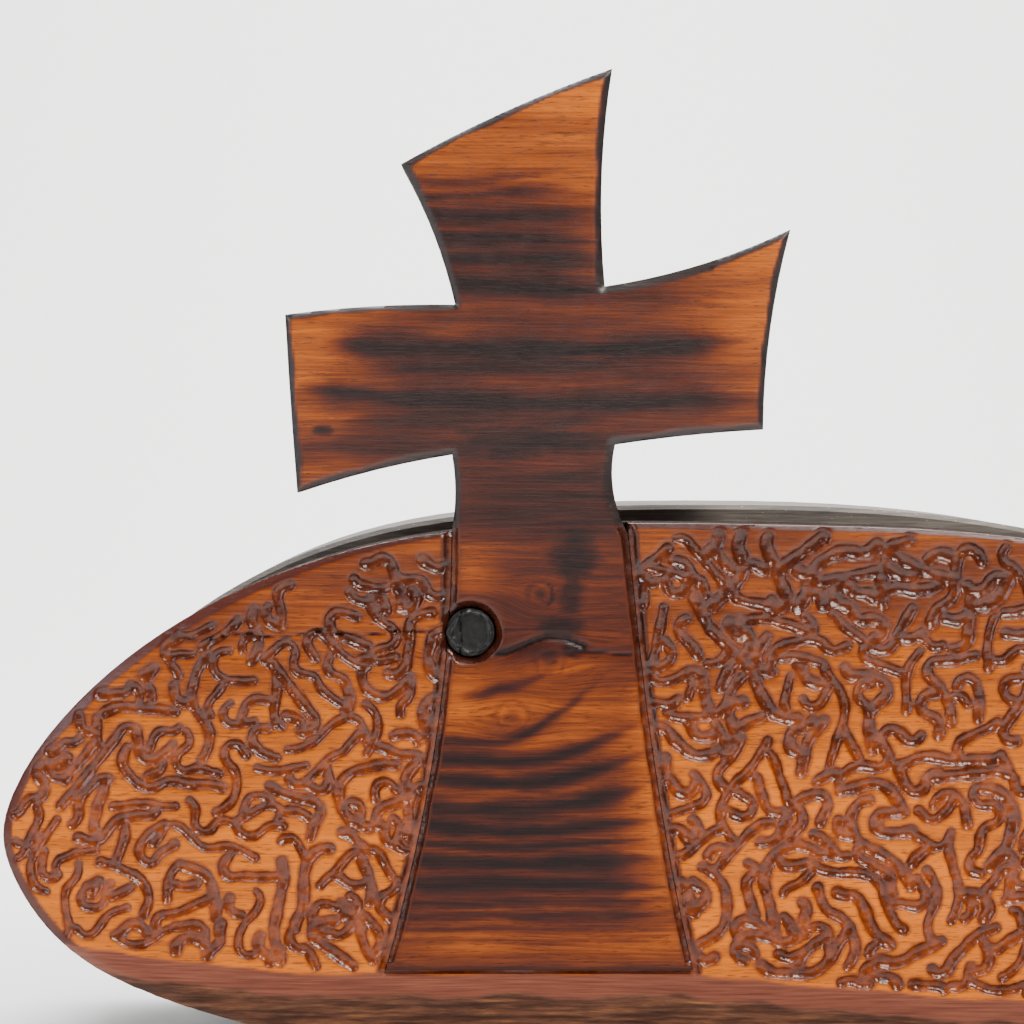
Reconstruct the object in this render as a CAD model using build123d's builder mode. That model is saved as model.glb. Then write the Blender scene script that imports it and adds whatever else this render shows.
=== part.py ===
from build123d import *
from math import degrees
import os

# Wooden puzzle box, standing upright with its carved front facing -Y.
# Millimetres, +Z up. The origin is at the middle of the footprint, on the
# surface that the box rests on. The box is built in layers from front to back:
# a live-edge front slab, a thin gap, a hollowed body and a back panel.

# ---- driving dimensions: the layers ----
slab_thick = 24.0
gap = 1.0
body_depth = 40.0
back_thick = 8.0
half_width = 165.0

y_front = -(slab_thick + gap + body_depth + back_thick) / 2
y_slab_back = y_front + slab_thick
y_body_front = y_slab_back + gap
y_body_back = y_body_front + body_depth
y_back = y_body_back + back_thick

# ---- driving dimensions: outlines, as (x, z) ----
slab_foot_z = 0.5
slab_top_z = 119.0
flat_half = 92.0
slab_edge = [(-flat_half, slab_foot_z), (-125.4, 10.5), (-150, 24), (-162.8, 41), (-half_width, 49.8),
             (-162.8, 59), (-151.8, 75.7), (-121, 99.9), (-77, 115.3), (-30, 118.8), (15, 118.3),
             (60.3, 115.6), (101, 106.5), (130, 93), (152, 74.5), (162.8, 59), (half_width, 49.8),
             (162.8, 41), (151, 25), (127, 11), (flat_half, slab_foot_z)]
body_half = 163.0
eased = 1.0
body_edge = [(-flat_half, 0), (-125, 10.5), (-149, 24.5), (-161, 41), (-body_half, 49.8), (-161, 58.5),
             (-150, 75), (-120, 101.2), (-88, 115.3), (-50, 121.2), (-5, 122.4), (48, 119.7),
             (86, 112), (122, 96.5), (149, 74.5), (161, 58.5), (body_half, 49.8), (161, 41),
             (149.5, 25.5), (126, 11), (flat_half, 0)]

left_cavity = [(-46, 12), (-108, 14), (-143, 36), (-143, 60), (-124, 80), (-46, 82)]
right_cavity = [(46, 12), (92, 13), (106, 30), (106, 70), (90, 82), (46, 82)]
cavity_corner_r = 7.0

# The natural wane: the front slab's lower front edge slopes back to its foot.
wane_top = 14.0
wane_in = 9.0

# ---- driving dimensions: the cross, its stem and the slot they lie in ----
slot_depth = 14.0
fit_gap = 0.3
seam_gap = 0.15
back_clear = 0.2
key_thick = slot_depth - back_clear
foot_z = 20.0
left_seam = [(-65.6, 117.5), (-66.9, 88.9), (-72.6, 51.5), (-80.3, foot_z)]
right_seam = [(-12.5, foot_z), (-17.2, 42.7), (-22.4, 75.7), (-26.8, 116.4)]
# the burnt outline above the slab, clockwise from the right shoulder: each side
# bows gently, so it's given by its middle and its end
neck_right = (-29.7, 136.2)
neck_left = (-65.6, 134.0)
cross_sides = [
    ((-13.0, 138.3), (2.9, 139.5)),
    ((4.4, 161.5), (8.8, 183.5)),
    ((-13.2, 175.1), (-32.0, 171.0)),
    ((-32.8, 190.1), (-30.4, 218.7)),
    ((-54.0, 209.3), (-76.8, 197.8)),
    ((-70.0, 183.5), (-64.9, 167.0)),
    ((-84.0, 166.6), (-102.3, 164.8)),
    ((-101.2, 146.1), (-99.7, 125.6)),
    ((-82.5, 130.6), neck_left),
]
neck_right_middle = (-30.2, 127.0)
neck_left_middle = (-64.9, 126.5)
y_slot_floor = y_front + slot_depth
y_key_back = y_front + key_thick

# ---- driving dimensions: the knot that is pushed in ----
knot_at = (-61.6, 94.8)
knot_r = 5.3
knot_running = 0.05
knot_recess = 0.6
knot_travel = 12.0
knot_core_r = 2.0
knot_skin = 1.2
knot_bore_deep = knot_travel + 3.0

# ---- driving dimensions: the hidden pivot and its stop ----
pivot_at = (140.0, 50.0)
pivot_r = 4.0
pivot_running = 0.06
pivot_grip = 12.0
pivot_head_r = 7.0
pivot_head_thick = 4.0
head_play = 0.3
head_clear = 0.8
washer_r = 9.0
washer_thick = 0.8
bush_r = 6.0
bush_length = 27.0
swing_deg = 80.0
stop_orbit = 22.0
stop_r = 3.0
stop_clear = 0.3
stop_reach = 5.5
stop_grip = 10.0
slot_end_clear = 1.0

# ---- driving dimensions: magnets ----
magnet_r = 4.0
magnet_thick = 3.0
key_magnets_at = [(-46.4, 104.0), (-46.4, 34.0)]
closing_magnet_at = (-152.5, 50.0)

# ---- driving dimensions: the rear drawer in its bay ----
bay_half = 34.0
bay_floor = 14.0
bay_top = 70.0
bay_panel_thick = 6.0
drawer_gap = 0.4
board = 4.0
tray_floor_thick = 5.0
drawer_travel = 24.0
face_notch_r = 10.0
face_chamfer = 0.6
stop_pin_r = 1.5
stop_pin_y = y_body_back - 3.0
stop_pin_sunk = 0.5
pin_under_groove = 0.6
groove_deep = 3.0

# ---- driving dimensions: lining and dowels ----
felt = 1.0
felt_clear = 0.5
back_dowel_r = 3.0
back_dowel_length = 20.0
back_dowels_at = [(-153, 50), (152, 66), (-40, 101), (60, 100)]


def upright(y):
    """The sketch plane at depth y, seen from the front."""
    return Plane.XZ.offset(-y)


def closed_outline(edge):
    """A closed outline: one smooth curve over the top, standing on a flat foot."""
    with BuildSketch() as outline:
        with BuildLine():
            Spline(*edge)
            Line(edge[-1], edge[0])
        make_face()
    return outline.sketch


def cavity_outline(corners, grow=0.0):
    """A sawn cavity: a polygon with round corners, grown or shrunk evenly."""
    with BuildSketch() as outline:
        with BuildLine():
            Polyline(*corners, close=True)
        make_face()
        fillet(outline.vertices(), cavity_corner_r)
        if grow:
            offset(amount=grow, mode=Mode.REPLACE)
    return outline.sketch


def block(x_from, x_to, y_from, y_to, z_from, z_to, mode=Mode.ADD):
    """A plain board between six faces."""
    middle = ((x_from + x_to) / 2, (y_from + y_to) / 2, (z_from + z_to) / 2)
    with Locations(middle):
        Box(x_to - x_from, y_to - y_from, z_to - z_from, mode=mode)


def disc(at, radius, y_from, y_to, mode=Mode.ADD):
    """A round bar or hole along Y, from y_from back to y_to."""
    with BuildSketch(upright(y_to)) as circle:
        with Locations(at):
            Circle(radius)
    extrude(circle.sketch, amount=y_to - y_from, mode=mode)


def stop_slot():
    """The arc that the stop dowel travels, as seen from the slab."""
    at_rest_deg = 180
    end_play_deg = degrees(stop_clear / stop_orbit)
    with BuildSketch() as slot:
        with BuildLine():
            CenterArc(pivot_at, stop_orbit, at_rest_deg - end_play_deg, swing_deg + 2 * end_play_deg)
            offset(amount=stop_r + stop_clear)
        make_face()
    return slot.sketch


# ======================= front slab and what rides on it =======================

with BuildPart() as front_slab:
    with BuildSketch(upright(y_slab_back)):
        add(closed_outline(slab_edge))
    extrude(amount=slab_thick)
    # the blind slot for the stem, open at the top and wider at the foot
    with BuildSketch(upright(y_slot_floor)):
        with BuildLine():
            left = Spline(*[(x - seam_gap, z) for x, z in left_seam])
            right = Spline(*[(x + seam_gap, z) for x, z in right_seam])
            clear_z = slab_top_z + 10
            foot = foot_z - seam_gap
            Polyline(left @ 1, ((left @ 1).X, foot), ((right @ 0).X, foot), right @ 0)
            Polyline(right @ 1, ((right @ 1).X, clear_z), ((left @ 0).X, clear_z), left @ 0)
        make_face()
    extrude(amount=slot_depth, mode=Mode.SUBTRACT)
    # the wane along the lower front edge
    with BuildSketch(Plane.YZ.offset(-half_width - 1)):
        Polygon((y_front, wane_top), (y_front + wane_in, slab_foot_z - 1), (y_front - 1, slab_foot_z - 1),
                (y_front - 1, wane_top), align=None)
    extrude(amount=2 * half_width + 2, mode=Mode.SUBTRACT)
    disc(knot_at, knot_r + knot_running, y_front, y_slab_back, mode=Mode.SUBTRACT)
    disc(pivot_at, pivot_r, y_slab_back - pivot_grip, y_slab_back, mode=Mode.SUBTRACT)
    with BuildSketch(upright(y_slab_back)):
        add(stop_slot())
    extrude(amount=stop_reach + slot_end_clear, mode=Mode.SUBTRACT)
    for at in key_magnets_at:
        disc(at, magnet_r, y_slot_floor, y_slot_floor + magnet_thick, mode=Mode.SUBTRACT)
    disc(closing_magnet_at, magnet_r, y_slab_back - magnet_thick, y_slab_back, mode=Mode.SUBTRACT)

with BuildPart() as slot_magnets:
    for at in key_magnets_at:
        disc(at, magnet_r, y_slot_floor, y_slot_floor + magnet_thick)

with BuildPart() as slab_magnet:
    disc(closing_magnet_at, magnet_r, y_slab_back - magnet_thick, y_slab_back)

with BuildPart() as cross_key:
    with BuildSketch(upright(y_key_back)):
        with BuildLine():
            Line(left_seam[-1], right_seam[0])
            Spline(*right_seam)
            ThreePointArc(right_seam[-1], neck_right_middle, neck_right)
            corner = neck_right
            for middle, end in cross_sides:
                ThreePointArc(corner, middle, end)
                corner = end
            ThreePointArc(neck_left, neck_left_middle, left_seam[0])
            Spline(*left_seam)
        make_face()
    extrude(amount=key_thick)
    disc(knot_at, knot_r + fit_gap, y_front, y_key_back, mode=Mode.SUBTRACT)
    for at in key_magnets_at:
        disc(at, magnet_r, y_key_back - magnet_thick, y_key_back, mode=Mode.SUBTRACT)

with BuildPart() as key_magnets:
    for at in key_magnets_at:
        disc(at, magnet_r, y_key_back - magnet_thick, y_key_back)

knot_front = y_front + knot_recess
knot_back = y_slab_back - back_clear

with BuildPart() as knot_peg:
    disc(knot_at, knot_r, knot_front, knot_back)
    disc(knot_at, knot_core_r, knot_front + knot_skin, knot_back, mode=Mode.SUBTRACT)

with BuildPart() as knot_core:
    disc(knot_at, knot_core_r, knot_front + knot_skin, knot_back)

bush_back = y_body_front + bush_length
head_front = bush_back + head_play

with BuildPart() as pivot_bolt:
    disc(pivot_at, pivot_r, y_slab_back - pivot_grip, head_front)
    disc(pivot_at, pivot_head_r, head_front, head_front + pivot_head_thick)
    with BuildSketch(upright(head_front + pivot_head_thick)):
        with Locations(pivot_at):
            RegularPolygon(pivot_r, 6)
    extrude(amount=pivot_head_thick / 2, mode=Mode.SUBTRACT)

# ============================ body and what is fixed in it ============================

bay_panel_back = y_body_front + bay_panel_thick

with BuildPart() as box_body:
    with BuildSketch(upright(y_body_back)):
        add(closed_outline(body_edge))
    extrude(amount=body_depth)
    # the sawn outline is eased where it can be touched
    chamfer(box_body.faces().sort_by(Axis.Y)[0].edges(), eased)
    with BuildSketch(upright(y_body_back)):
        add(cavity_outline(left_cavity))
        add(cavity_outline(right_cavity))
    extrude(amount=body_depth, mode=Mode.SUBTRACT)
    block(-bay_half, bay_half, y_body_front, y_body_back, bay_floor, bay_top, mode=Mode.SUBTRACT)
    # the blind bore that the pushed knot enters
    disc(knot_at, knot_r + fit_gap, y_body_front, y_body_front + knot_bore_deep, mode=Mode.SUBTRACT)
    # the pivot: a bushed bore, and room behind it for the bolt's head
    disc(pivot_at, bush_r, y_body_front, bush_back, mode=Mode.SUBTRACT)
    disc(pivot_at, pivot_head_r + head_clear, bush_back, y_body_back, mode=Mode.SUBTRACT)
    disc((pivot_at[0] - stop_orbit, pivot_at[1]), stop_r, y_body_front, y_body_front + stop_grip,
         mode=Mode.SUBTRACT)
    disc(closing_magnet_at, magnet_r, y_body_front, y_body_front + magnet_thick, mode=Mode.SUBTRACT)
    for at in back_dowels_at:
        disc(at, back_dowel_r, y_back - back_dowel_length, y_body_back, mode=Mode.SUBTRACT)
    # the drawer's stop pin is driven up through the foot
    with Locations((0, stop_pin_y, bay_floor / 2)):
        Cylinder(stop_pin_r, bay_floor, mode=Mode.SUBTRACT)

with BuildPart() as bay_panel:
    block(-bay_half, bay_half, y_body_front, bay_panel_back, bay_floor, bay_top)

with BuildPart() as back_panel:
    with BuildSketch(upright(y_back)):
        add(closed_outline(body_edge))
    extrude(amount=back_thick)
    chamfer(back_panel.faces().sort_by(Axis.Y)[-1].edges(), eased)
    block(-bay_half, bay_half, y_body_back, y_back, bay_floor, bay_top, mode=Mode.SUBTRACT)
    for at in back_dowels_at:
        disc(at, back_dowel_r, y_body_back, y_back, mode=Mode.SUBTRACT)

with BuildPart() as back_dowels:
    for at in back_dowels_at:
        disc(at, back_dowel_r, y_back - back_dowel_length, y_back)

with BuildPart() as pivot_bush:
    disc(pivot_at, bush_r, y_body_front, bush_back)
    disc(pivot_at, pivot_r + pivot_running, y_body_front, bush_back, mode=Mode.SUBTRACT)

with BuildPart() as pivot_washer:
    disc(pivot_at, washer_r, y_body_front - washer_thick, y_body_front)
    disc(pivot_at, pivot_r + fit_gap, y_body_front - washer_thick, y_body_front, mode=Mode.SUBTRACT)

with BuildPart() as stop_dowel:
    disc((pivot_at[0] - stop_orbit, pivot_at[1]), stop_r, y_slab_back - stop_reach, y_body_front + stop_grip)

with BuildPart() as body_magnet:
    disc(closing_magnet_at, magnet_r, y_body_front, y_body_front + magnet_thick)

with BuildPart() as left_liner:
    with BuildSketch(upright(y_body_back)):
        add(cavity_outline(left_cavity, grow=-felt_clear))
    extrude(amount=felt)

with BuildPart() as right_liner:
    with BuildSketch(upright(y_body_back)):
        add(cavity_outline(right_cavity, grow=-felt_clear))
    extrude(amount=felt)

pin_top = bay_floor + drawer_gap + groove_deep - pin_under_groove

with BuildPart() as drawer_stop_pin:
    with BuildSketch(Plane.XY.offset(stop_pin_sunk)):
        with Locations((0, stop_pin_y)):
            Circle(stop_pin_r)
    extrude(amount=pin_top - stop_pin_sunk)

# ================================ rear drawer ================================

tray_x = bay_half - drawer_gap
tray_front = bay_panel_back + drawer_gap
tray_foot = bay_floor + drawer_gap
tray_top = bay_top - drawer_gap

with BuildPart() as drawer_face:
    block(-tray_x, tray_x, y_body_back, y_back, tray_foot, tray_top)
    # the finger notch in the face's upper edge
    disc((0, tray_top), face_notch_r, y_body_back, y_back, mode=Mode.SUBTRACT)
    chamfer(drawer_face.faces().sort_by(Axis.Y)[-1].edges(), face_chamfer)

with BuildPart() as drawer_left_side:
    block(-tray_x, -tray_x + board, tray_front, y_body_back, tray_foot, tray_top)

with BuildPart() as drawer_right_side:
    block(tray_x - board, tray_x, tray_front, y_body_back, tray_foot, tray_top)

with BuildPart() as drawer_end:
    block(-tray_x + board, tray_x - board, tray_front, tray_front + board, tray_foot, tray_top)

with BuildPart() as drawer_floor:
    block(-tray_x + board, tray_x - board, tray_front + board, y_body_back, tray_foot,
          tray_foot + tray_floor_thick)
    # the groove that runs over the stop pin
    groove_half = stop_pin_r + fit_gap
    block(-groove_half, groove_half, stop_pin_y - drawer_travel - groove_half, stop_pin_y + groove_half,
          tray_foot, tray_foot + groove_deep, mode=Mode.SUBTRACT)

with BuildPart() as drawer_liner:
    liner_x = tray_x - board - felt_clear
    block(-liner_x, liner_x, tray_front + board + felt_clear, y_body_back - felt_clear,
          tray_foot + tray_floor_thick, tray_foot + tray_floor_thick + felt)

# ================================== export ==================================

pieces = {
    "front_slab": front_slab,
    "slot_magnets": slot_magnets,
    "slab_magnet": slab_magnet,
    "cross_key": cross_key,
    "key_magnets": key_magnets,
    "knot_peg": knot_peg,
    "knot_core": knot_core,
    "pivot_bolt": pivot_bolt,
    "box_body": box_body,
    "bay_panel": bay_panel,
    "back_panel": back_panel,
    "back_dowels": back_dowels,
    "pivot_bush": pivot_bush,
    "pivot_washer": pivot_washer,
    "stop_dowel": stop_dowel,
    "body_magnet": body_magnet,
    "left_liner": left_liner,
    "right_liner": right_liner,
    "drawer_stop_pin": drawer_stop_pin,
    "drawer_face": drawer_face,
    "drawer_left_side": drawer_left_side,
    "drawer_right_side": drawer_right_side,
    "drawer_end": drawer_end,
    "drawer_floor": drawer_floor,
    "drawer_liner": drawer_liner,
}

os.makedirs("parts", exist_ok=True)
for name, piece in pieces.items():
    piece.part.label = name
    export_step(piece.part, f"parts/{name}.step")
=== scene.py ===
# %% [markdown]
# # A wooden puzzle box with a worm-carved front
# The box stands upright and is built in layers: a live-edge front slab, a hollowed
# body and a back board. This script gives the finished construction model its looks:
# the wood, the torch marks, the carving and the lacquer. It starts by loading that
# model, whose pieces are never moved. A piece whose surface is carved is replaced by a
# denser mesh of the same outline.

# %% Load the frame
import bmesh
import bpy
import math
import numpy as np
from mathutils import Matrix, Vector, kdtree, noise


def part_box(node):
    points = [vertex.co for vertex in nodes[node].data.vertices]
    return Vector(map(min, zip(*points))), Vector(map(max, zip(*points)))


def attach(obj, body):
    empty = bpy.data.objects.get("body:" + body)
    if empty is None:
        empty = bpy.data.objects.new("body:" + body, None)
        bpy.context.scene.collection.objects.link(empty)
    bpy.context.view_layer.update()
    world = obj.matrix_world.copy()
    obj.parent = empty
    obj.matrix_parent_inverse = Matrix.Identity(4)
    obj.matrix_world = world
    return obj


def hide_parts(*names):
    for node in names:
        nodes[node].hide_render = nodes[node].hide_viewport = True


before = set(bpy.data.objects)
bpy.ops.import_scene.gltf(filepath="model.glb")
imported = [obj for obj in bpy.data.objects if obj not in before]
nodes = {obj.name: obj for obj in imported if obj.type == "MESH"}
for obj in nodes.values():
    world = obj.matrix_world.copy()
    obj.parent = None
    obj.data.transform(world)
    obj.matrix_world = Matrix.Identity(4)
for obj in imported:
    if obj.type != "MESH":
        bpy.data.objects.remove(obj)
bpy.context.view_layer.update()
MM = 0.001
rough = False

# %% [markdown]
# ## Measures
# Every place comes from the frame. The front face of the slab and of the cross is one
# plane, and the layers follow behind it.

# %% Measures from the frame
slab_low, slab_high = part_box("front_slab")
key_low, key_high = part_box("cross_key")
y_front = slab_low[1]
y_slab_back = slab_high[1]
y_key_back = key_high[1]
knot_low, knot_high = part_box("knot_peg")
knot_x = (knot_low[0] + knot_high[0]) / 2 / MM
knot_z = (knot_low[2] + knot_high[2]) / 2 / MM
knot_r = (knot_high[0] - knot_low[0]) / 2 / MM
print("front at", round(y_front / MM, 2), "mm, knot at", round(knot_x, 1), round(knot_z, 1))


# %% [markdown]
# ## Working with the mesh
# Small helpers: select nothing, make one piece active, run its modifiers to their end,
# copy a construction piece as one skin, and read a mesh's points. An operator acts on
# everything that is selected, so each step first clears it.

# %% Helpers for selecting and applying
def deselect_all():
    bpy.ops.object.select_all(action="DESELECT")


def make_active(piece):
    deselect_all()
    piece.select_set(True)
    bpy.context.view_layer.objects.active = piece


def apply_modifiers(piece):
    make_active(piece)
    for modifier in list(piece.modifiers):
        bpy.ops.object.modifier_apply(modifier=modifier.name)


def merged_copy(node, name):
    """A copy of a CAD node with its loose triangles joined into one skin."""
    copy = nodes[node].copy()
    copy.data = nodes[node].data.copy()
    copy.name = name
    copy.parent = None
    bpy.context.collection.objects.link(copy)
    make_active(copy)
    bpy.ops.object.mode_set(mode="EDIT")
    bpy.ops.mesh.select_all(action="SELECT")
    bpy.ops.mesh.remove_doubles(threshold=1e-6)
    bpy.ops.mesh.customdata_custom_splitnormals_clear()
    bpy.ops.object.mode_set(mode="OBJECT")
    return copy


def coordinates(mesh):
    flat = np.empty(len(mesh.vertices) * 3)
    mesh.vertices.foreach_get("co", flat)
    return flat.reshape(-1, 3)


# %% [markdown]
# ## A dense face on an exact outline
# A carved face needs a fine, even mesh, but its outline must stay the construction's
# own. So a fine grid block is made first, and a boolean keeps only what lies within the
# CAD piece. The CAD piece's front is pulled forward past the grid beforehand, so that no
# two faces lie in one plane. Everything behind the front, such as the slot, the bores
# and the magnets' seats, comes from the CAD piece unchanged.

# %% The dense face
def dense_front(node, name, pitch, y_face, reach):
    """The CAD node with its front face made of small squares, pitch mm wide."""
    spare = 5 * MM
    margin = 4 * MM
    cutter = merged_copy(node, name + "_outline")
    for vertex in cutter.data.vertices:
        if vertex.co.y < y_face + reach * MM:
            vertex.co.y = y_face - spare
    low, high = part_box(node)
    width = high[0] - low[0] + margin
    height = high[2] - low[2] + margin
    deselect_all()
    bpy.ops.mesh.primitive_grid_add(
        x_subdivisions=round(width / MM / pitch),
        y_subdivisions=round(height / MM / pitch),
        size=1,
        location=((low[0] + high[0]) / 2, y_face, (low[2] + high[2]) / 2),
        rotation=(math.pi / 2, 0, 0),
    )
    piece = bpy.context.object
    piece.name = name
    piece.scale = (width, height, 1)
    bpy.ops.object.transform_apply(location=True, rotation=True, scale=True)
    bpy.ops.object.mode_set(mode="EDIT")
    bpy.ops.mesh.select_mode(type="EDGE")
    bpy.ops.mesh.select_all(action="DESELECT")
    bpy.ops.mesh.select_non_manifold()
    far_back = high[1] - y_face + spare
    bpy.ops.mesh.extrude_edges_move(TRANSFORM_OT_translate={"value": (0, far_back, 0)})
    bpy.ops.mesh.edge_face_add()
    bpy.ops.mesh.select_all(action="SELECT")
    bpy.ops.mesh.normals_make_consistent(inside=False)
    bpy.ops.object.mode_set(mode="OBJECT")
    cut = piece.modifiers.new("outline", "BOOLEAN")
    cut.operation = "INTERSECT"
    cut.solver = "EXACT"
    cut.object = cutter
    apply_modifiers(piece)
    bpy.data.objects.remove(cutter)
    print(name, "has", len(piece.data.polygons), "faces")
    return piece


# %% Dense meshes for the slab and the cross
# The numbers are the squares' width in mm. The slab's front is everything up to 10 mm
# behind its face, because its wane leans back. The cross is flat.
slab = dense_front("front_slab", "carved_slab", 1.1 if rough else 0.56, y_front, 10)
cross = dense_front("cross_key", "torched_cross", 1.1 if rough else 0.62, y_front, 1)


# %% [markdown]
# ## Where the seams and edges lie
# The torch marks and the carved seams follow the outlines, so the outlines are read
# from the construction: the open edges of the faces that lie in one plane.

# %% Outlines as rows of points
def plane_loops(node, y):
    """The closed outlines in the plane at depth y, longest first, as (x, z) in mm."""
    copy = merged_copy(node, "outline_reader")
    mesh = bmesh.new()
    mesh.from_mesh(copy.data)
    flat = {face for face in mesh.faces if all(abs(v.co.y - y) < 1e-5 for v in face.verts)}
    rim = {edge for edge in mesh.edges if sum(face in flat for face in edge.link_faces) == 1}
    loops = []
    while rim:
        edge = rim.pop()
        first, here = edge.verts
        loop = [first.co.copy(), here.co.copy()]
        while here is not first:
            edge = next((e for e in here.link_edges if e in rim), None)
            if edge is None:
                break
            rim.discard(edge)
            here = edge.other_vert(here)
            loop.append(here.co.copy())
        loops.append(np.array([(co.x / MM, co.z / MM) for co in loop]))
    mesh.free()
    bpy.data.objects.remove(copy)
    return sorted(loops, key=lambda loop: -np.ptp(loop[:, 0]))


def sampled(loop, step=0.2):
    """The same outline as points one step apart."""
    rows = []
    for start, end in zip(loop[:-1], loop[1:]):
        count = max(1, int(np.hypot(*(end - start)) / step))
        rows.append(start + (end - start) * np.linspace(0, 1, count, endpoint=False)[:, None])
    return np.vstack(rows)


def tree_of(points):
    """A search tree that finds the point nearest to a place."""
    tree = kdtree.KDTree(len(points))
    for number, (x, z) in enumerate(points):
        tree.insert((x, z, 0), number)
    tree.balance()
    return tree


def distance_to(points, targets):
    """For each point, the distance in mm to the nearest target."""
    tree = tree_of(targets)
    return np.array([tree.find((x, z, 0))[2] for x, z in points])


slab_outline = sampled(plane_loops("front_slab", y_slab_back)[0])
key_outline = sampled(plane_loops("cross_key", y_key_back)[0])
slab_top_z = slab_outline[:, 1].max()
foot_z = key_outline[:, 1].min()
print("slab outline", len(slab_outline), "points; stem foot at", round(foot_z, 2), "mm")

# %% [markdown]
# ## Smooth noise over the face
# Wood is never even. This small field gives each place on the face a smooth number
# from about -1 to 1, with a chosen size in mm across and up.

# %% A noise field
def field(points, across, up, seed, octaves=2):
    values = np.empty(len(points))
    for number, (x, z) in enumerate(points):
        values[number] = noise.fractal((x / across + seed, z / up, seed * 1.7), 1.0, 2.0, octaves)
    return values


def smooth_step(low, high, value):
    t = np.clip((value - low) / (high - low), 0, 1)
    return t * t * (3 - 2 * t)


def bump_at(value, centre, half_width):
    """One at the centre, falling smoothly to about a third half_width away."""
    return np.exp(-((value - centre) / half_width) ** 2)


# %% [markdown]
# ## The worm tracks
# The maker carves the slab freehand with a 3 mm ball burr: short crooked strokes that
# run into each other and leave small islands of the flat face. Each stroke is a walk:
# it keeps its heading, bends a little at each step, and stops at the border or, often,
# when it meets an older stroke. The burr is pressed harder here and there, so the width
# and the depth wander along it. The left end is worked with finer and closer strokes.
# Points already carved are filed by square, so that the near ones are found quickly.

# %% The room around a stroke
rng = np.random.default_rng(11)
walk_step = 0.45
square = 4
filed = {}


def square_of(x, z):
    return int(x // square), int(z // square)


def room(x, z, own, count):
    """How far the nearest other carving is, up to 4 mm. A stroke may meet its own older part."""
    recent = 14
    least = float(square ** 2)
    across, up = square_of(x, z)
    for i in (-1, 0, 1):
        for k in (-1, 0, 1):
            for number, when, px, pz in filed.get((across + i, up + k), ()):
                if number != own or when < count - recent:
                    least = min(least, (px - x) ** 2 + (pz - z) ** 2)
    return math.sqrt(least)


# %% [markdown]
# At each step the walk looks a little ahead, to the left and to the right, and bends
# towards the side with more room. That keeps the strokes evenly spread, as a hand does.
# About half of the strokes join others freely and skip this. No stroke turns round on
# itself for long, because the bend reverses once the stroke has turned far enough.

# %% One walk of the burr
# distances in mm, and turns for each step in radians
look_ahead = 3.4
steer_below = 3.3
steer = 0.055
border_ahead = 3
border_steer = 0.07
sharpest_bend = 0.21
too_near_for_branch = 2.5
touching = 0.6
close_by = 1.9


def walk(inside, number, x, z, branch, blob, fine, bold):
    """One stroke as rows of x, z, half width and depth, all in mm."""
    length = rng.uniform(2.5, 4) if blob else rng.uniform(9, 30)
    half = rng.uniform(1.6, 2.0) if blob else rng.uniform(1.2, 1.6) - 0.15 * fine + 0.25 * bold
    deep = rng.uniform(0.8, 1.2) - 0.1 * fine
    heading = rng.uniform(0, 2 * math.pi)
    bend = rng.normal(0, 0.05)
    joins = rng.random() < 0.5
    turn_most = rng.uniform(1.4, 4.2)
    turned = 0.0
    phase = rng.uniform(0, 6, 3)
    rows = []
    for count in range(int(length / walk_step)):
        bend = 0.9 * bend + rng.normal(0, 0.026)
        if not joins or count < 8:
            ways = [heading + turn for turn in (-0.7, 0, 0.7)]
            probes = [(x + look_ahead * math.cos(way), z + look_ahead * math.sin(way)) for way in ways]
            right, ahead, left = [room(px, pz, number, count) for px, pz in probes]
            if ahead < steer_below:
                bend += steer if left > right else -steer
        if not inside(x + border_ahead * math.cos(heading), z + border_ahead * math.sin(heading)):
            bend += border_steer if bend > 0 else -border_steer
        turned += bend
        if abs(turned) > turn_most:
            bend = -0.5 * bend
        heading += max(-sharpest_bend, min(sharpest_bend, bend))
        x += walk_step * math.cos(heading)
        z += walk_step * math.sin(heading)
        clear = room(x, z, number, count)
        if not inside(x, z) or (branch and 7 < count < 16 and clear < too_near_for_branch):
            break
        wander = math.sin(count * 0.31 + phase[0]) + 0.6 * math.sin(count * 0.73 + phase[1])
        beads = 0.13 * math.sin(count * 1.7 + phase[2])
        ease = min(1, (count + 3) / 5)
        half_here = half * (1 + 0.08 * wander + 0.25 * beads)
        deep_here = deep * (1 + 0.15 * wander + beads) * ease
        rows.append((x, z, half_here, deep_here))
        if count > 8 and (clear < touching or (clear < close_by and rng.random() < 0.3)):
            break
    return rows


# %% All walks, one after another
tries = 7000
first_branch = 900
branch_share = 0.4
blob_share = 0.08
start_gap = 3.6
fewest_points = 12
fewest_in_blob = 4


def strokes(inside):
    """Every stroke that found room. Later ones may branch off an earlier one."""
    made = []
    starts = rng.uniform((-163, 14), (163, slab_top_z), (tries, 2))
    for number, (x, z) in enumerate(starts):
        branch = number > first_branch and rng.random() < branch_share
        if branch:
            parent = made[rng.integers(len(made))]
            x, z = parent[rng.integers(len(parent)), :2]
        fine = float(1 - smooth_step(-112, -70, np.array(x)))
        bold = float(smooth_step(84, 108, np.array(z)) * smooth_step(-20, 0, np.array(x)))
        gap = start_gap - 0.7 * fine + 0.5 * bold
        if not branch and (not inside(x, z) or room(x, z, number, 0) < gap):
            continue
        blob = not branch and rng.random() < blob_share
        rows = walk(inside, number, x, z, branch, blob, fine, bold)
        if len(rows) > (fewest_in_blob if blob else fewest_points):
            made.append(np.array(rows))
            for count, (px, pz, half, deep) in enumerate(rows):
                filed.setdefault(square_of(px, pz), []).append((number, count, px, pz))
    return made


# %% [markdown]
# The strokes stay about 2 mm inside the slab's outline, the seams beside the stem and
# the top of the wane. The wane is the tree's own skin under the lower front edge.

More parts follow.
